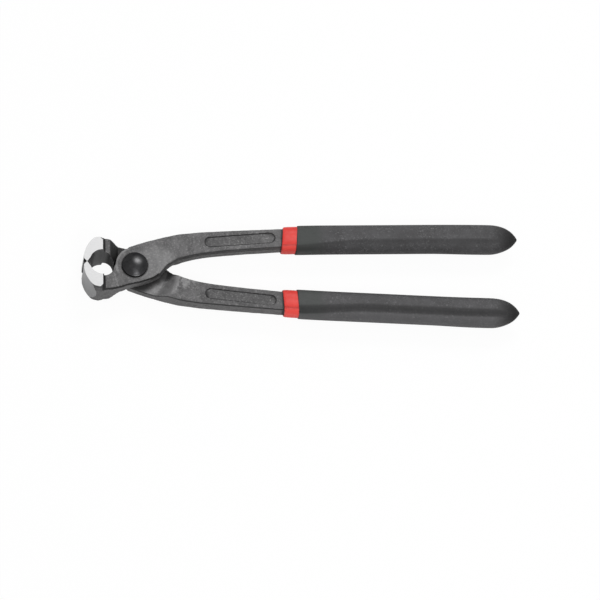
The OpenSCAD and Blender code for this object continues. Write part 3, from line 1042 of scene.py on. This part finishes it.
def blend_shaders(tree, share, first, second, output):
    """Goes from the first shader to the second with the share"""
    blend = tree.nodes.new("ShaderNodeMixShader")
    tree.links.new(share, blend.inputs["Fac"])
    tree.links.new(first, blend.inputs[1])
    tree.links.new(second, blend.inputs[2])
    tree.links.new(blend.outputs["Shader"], tree.nodes[output].inputs["Surface"])


def floor():
    """A white table, which the camera sees almost as plain white but for the tool's shadow"""
    bm = bmesh.new()
    bmesh.ops.create_grid(bm, x_segments=1, y_segments=1, size=3.0)
    table = made("floor", bm)
    paint = bpy.data.materials.new("white_table")
    paint.use_nodes = True
    nodes = paint.node_tree.nodes
    links = paint.node_tree.links
    shader = nodes["Principled BSDF"]
    shader.inputs["Base Color"].default_value = (0.93, 0.93, 0.93, 1)
    shader.inputs["Roughness"].default_value = 0.9
    shader.inputs["Specular IOR Level"].default_value = 0.0
    glow = nodes.new("ShaderNodeEmission")
    glow.inputs["Strength"].default_value = 1.0
    rays = nodes.new("ShaderNodeLightPath")
    share = nodes.new("ShaderNodeMath")
    share.operation = "MULTIPLY"
    share.inputs[1].default_value = 0.95
    links.new(rays.outputs["Is Camera Ray"], share.inputs[0])
    blend_shaders(paint.node_tree, share.outputs["Value"], shader.outputs["BSDF"],
                  glow.outputs["Emission"], "Material Output")
    table.data.materials.append(paint)


def surroundings():
    """A dim white room, which looks plain white to the camera and in reflections"""
    world = bpy.data.worlds.new("pale_studio")
    bpy.context.scene.world = world
    world.use_nodes = True
    nodes = world.node_tree.nodes
    dim = nodes["Background"]
    white = nodes.new("ShaderNodeBackground")
    for room, strength in ((dim, 0.36), (white, 1.0)):
        room.inputs["Color"].default_value = (1, 1, 1, 1)
        room.inputs["Strength"].default_value = strength
    rays = nodes.new("ShaderNodeLightPath")
    seen = rays.outputs["Is Camera Ray"]
    for kind in ("Is Glossy Ray", "Is Transmission Ray"):
        either = nodes.new("ShaderNodeMath")
        either.operation = "MAXIMUM"
        world.node_tree.links.new(seen, either.inputs[0])
        world.node_tree.links.new(rays.outputs[kind], either.inputs[1])
        seen = either.outputs["Value"]
    blend_shaders(world.node_tree, seen, dim.outputs["Background"], white.outputs["Background"],
                  "World Output")


def softbox(name, place, size, power):
    """A rectangular lamp that looks at the tool"""
    light = bpy.data.lights.new(name, "AREA")
    light.shape = "RECTANGLE"
    light.size, light.size_y = size
    light.energy = power
    lamp = bpy.data.objects.new(name, light)
    lamp.location = place
    lamp.rotation_euler = (-Vector(place)).to_track_quat("-Z", "Y").to_euler()
    bpy.context.scene.collection.objects.link(lamp)


def camera():
    """A long lens from above and slightly from the jaws' side, as the tool was photographed"""
    tilt = math.radians(21.136)
    swing = math.radians(6.056)
    roll = math.radians(1.0915)
    pixels_per_metre = 1997.0
    distance = 2.475
    frame_side = 600
    pivot_u = 134.06
    pivot_v = 269.15
    back = Vector((-math.sin(swing), -math.sin(tilt) * math.cos(swing), math.cos(tilt) * math.cos(swing)))
    level = (Vector((1, 0, 0)) - back.x * back).normalized()
    upright = back.cross(level)
    right = math.cos(roll) * level + math.sin(roll) * upright
    up = math.cos(roll) * upright - math.sin(roll) * level
    lens = bpy.data.cameras.new("camera")
    lens.sensor_width = 36
    lens.lens = pixels_per_metre * distance * lens.sensor_width / frame_side
    lens.clip_end = 20
    eye = bpy.data.objects.new("camera", lens)
    place = pivot + back * distance
    place -= right * (pivot_u - frame_side / 2) / pixels_per_metre
    place += up * (pivot_v - frame_side / 2) / pixels_per_metre
    turn = Matrix((right, up, back)).transposed().to_4x4()
    eye.matrix_world = Matrix.Translation(place) @ turn
    bpy.context.scene.collection.objects.link(eye)
    bpy.context.scene.camera = eye


camera()
surroundings()
softbox("back_softbox", place=(0.20, 0.62, 0.88), size=(0.43, 0.33), power=4.3)
softbox("front_softbox", place=(0.12, -0.60, 0.92), size=(0.34, 0.22), power=3.6)
softbox("top_softbox", place=(0.10, -0.15, 1.10), size=(1.0, 0.8), power=2.2)
floor()

finishes = {
    "forged": forged_scale(),
    "ground": ground_steel(),
    "linished": linished_steel(),
    "mouth": machined_mouth(),
    "bevel": bevel_scale(),
    "rivet": blackened_rivet(),
    "red": red_dip(),
    "grey": grey_dip(mouth_x=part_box("upper_outer_grip")[0].x),
}

lever("front_forging", "front_lever", "front", turned=False,
      shank_gap=0, crown_end=-3 * mm, cheek_fullness=0.45 * mm)
lever("back_forging", "back_lever", "back", turned=True,
      shank_gap=running_gap, crown_end=-8 * mm, cheek_fullness=0)
rivet()
sleeve("upper_collar", "upper_inner_sleeve", "front", False, False, "red")
sleeve("lower_collar", "lower_inner_sleeve", "back", True, False, "red")
sleeve("upper_grip", "upper_outer_grip", "front", False, True, "grey")
sleeve("lower_grip", "lower_outer_grip", "back", True, True, "grey")

bpy.context.scene.view_settings.view_transform = "Standard"
